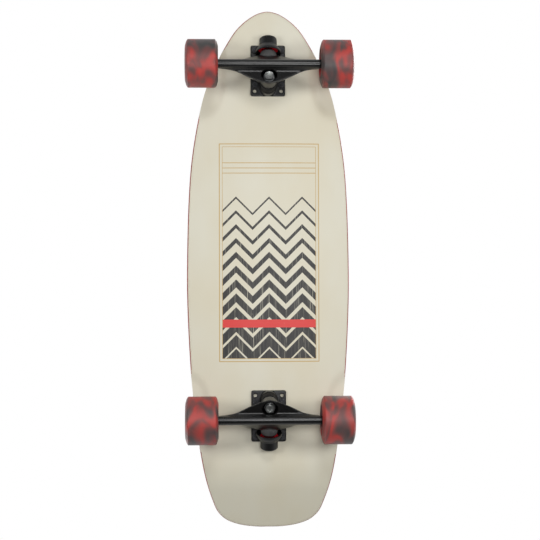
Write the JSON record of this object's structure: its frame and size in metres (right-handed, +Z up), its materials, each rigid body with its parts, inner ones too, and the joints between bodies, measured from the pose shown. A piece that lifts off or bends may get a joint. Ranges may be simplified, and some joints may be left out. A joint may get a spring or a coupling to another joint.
{
  "type": "surf skateboard",
  "caption": "Wide cruiser board with a rounded nose, kicked squared tail, two kingpin trucks that steer as the deck leans, and wide soft wheels.",
  "frame": {"origin": "on the ground, under the middle of the deck's length and width, with the wheels on the ground", "axes": "+X to the nose, +Y to the rider's left when facing the nose, +Z up"},
  "size_m": [0.807, 0.255, 0.131],
  "materials": {
    "deck_wood": "satin paint over laminated maple",
    "grip_tape": "coarse grit",
    "truck_black": "satin black",
    "hanger_black": "gloss black",
    "steel": "zinc plated",
    "black_steel": "black oxide",
    "bushing": "satin urethane",
    "pivot_cup": "satin urethane",
    "wheel_urethane": "satin urethane with dark swirls",
    "bearing": "dark shielded steel"
  },
  "bodies": {
    "deck": {"deck": "deck_wood", "grip_tape": "grip_tape", "front_baseplate": "truck_black", "front_pivot_cup": "pivot_cup", "front_kingpin": "steel", "front_kingpin_insert": "black_steel", "front_board_bushing": "bushing", "front_road_bushing": "bushing", "front_board_washer": "black_steel", "front_road_washer": "steel", "front_outer_left_bolt": "black_steel", "front_outer_left_bolt_nut": "black_steel", "front_outer_right_bolt": "black_steel", "front_outer_right_bolt_nut": "black_steel", "front_inner_left_bolt": "black_steel", "front_inner_left_bolt_nut": "black_steel", "front_inner_right_bolt": "black_steel", "front_inner_right_bolt_nut": "black_steel", "rear_baseplate": "truck_black", "rear_pivot_cup": "pivot_cup", "rear_kingpin": "steel", "rear_kingpin_insert": "black_steel", "rear_board_bushing": "bushing", "rear_road_bushing": "bushing", "rear_board_washer": "black_steel", "rear_road_washer": "steel", "rear_outer_left_bolt": "black_steel", "rear_outer_left_bolt_nut": "black_steel", "rear_outer_right_bolt": "black_steel", "rear_outer_right_bolt_nut": "black_steel", "rear_inner_left_bolt": "black_steel", "rear_inner_left_bolt_nut": "black_steel", "rear_inner_right_bolt": "black_steel", "rear_inner_right_bolt_nut": "black_steel"},
    "front_hanger": {"front_hanger": "hanger_black", "front_axle": "steel", "front_left_speed_washer": "steel", "front_left_axle_nut": "steel", "front_right_speed_washer": "steel", "front_right_axle_nut": "steel"},
    "front_left_wheel": {"front_left_wheel": "wheel_urethane", "front_left_outer_bearing": "bearing", "front_left_inner_bearing": "bearing"},
    "front_right_wheel": {"front_right_wheel": "wheel_urethane", "front_right_outer_bearing": "bearing", "front_right_inner_bearing": "bearing"},
    "rear_hanger": {"rear_hanger": "hanger_black", "rear_axle": "steel", "rear_left_speed_washer": "steel", "rear_left_axle_nut": "steel", "rear_right_speed_washer": "steel", "rear_right_axle_nut": "steel"},
    "rear_left_wheel": {"rear_left_wheel": "wheel_urethane", "rear_left_outer_bearing": "bearing", "rear_left_inner_bearing": "bearing"},
    "rear_right_wheel": {"rear_right_wheel": "wheel_urethane", "rear_right_outer_bearing": "bearing", "rear_right_inner_bearing": "bearing"}
  },
  "joints": [
    {"name": "front_steer", "type": "hinge", "parent": "deck", "child": "front_hanger", "pos_m": [0.2876, 0, 0.05535], "axis": [0.9397, 0, 0.342], "range_deg": [-12, 12], "stiffness_Nm_per_rad": 40, "deforming": ["front_board_bushing", "front_road_bushing"]},
    {"name": "front_left_roll", "type": "hinge", "parent": "front_hanger", "child": "front_left_wheel", "pos_m": [0.3108, 0.1025, 0.0365], "axis": [0, 1, 0], "continuous": true},
    {"name": "front_right_roll", "type": "hinge", "parent": "front_hanger", "child": "front_right_wheel", "pos_m": [0.3108, -0.1025, 0.0365], "axis": [0, 1, 0], "continuous": true},
    {"name": "rear_steer", "type": "hinge", "parent": "deck", "child": "rear_hanger", "pos_m": [-0.2057, 0, 0.05535], "axis": [-0.9397, 0, 0.342], "range_deg": [-12, 12], "stiffness_Nm_per_rad": 40, "deforming": ["rear_board_bushing", "rear_road_bushing"]},
    {"name": "rear_left_roll", "type": "hinge", "parent": "rear_hanger", "child": "rear_left_wheel", "pos_m": [-0.2289, 0.1025, 0.0365], "axis": [0, 1, 0], "continuous": true},
    {"name": "rear_right_roll", "type": "hinge", "parent": "rear_hanger", "child": "rear_right_wheel", "pos_m": [-0.2289, -0.1025, 0.0365], "axis": [0, 1, 0], "continuous": true}
  ]
}
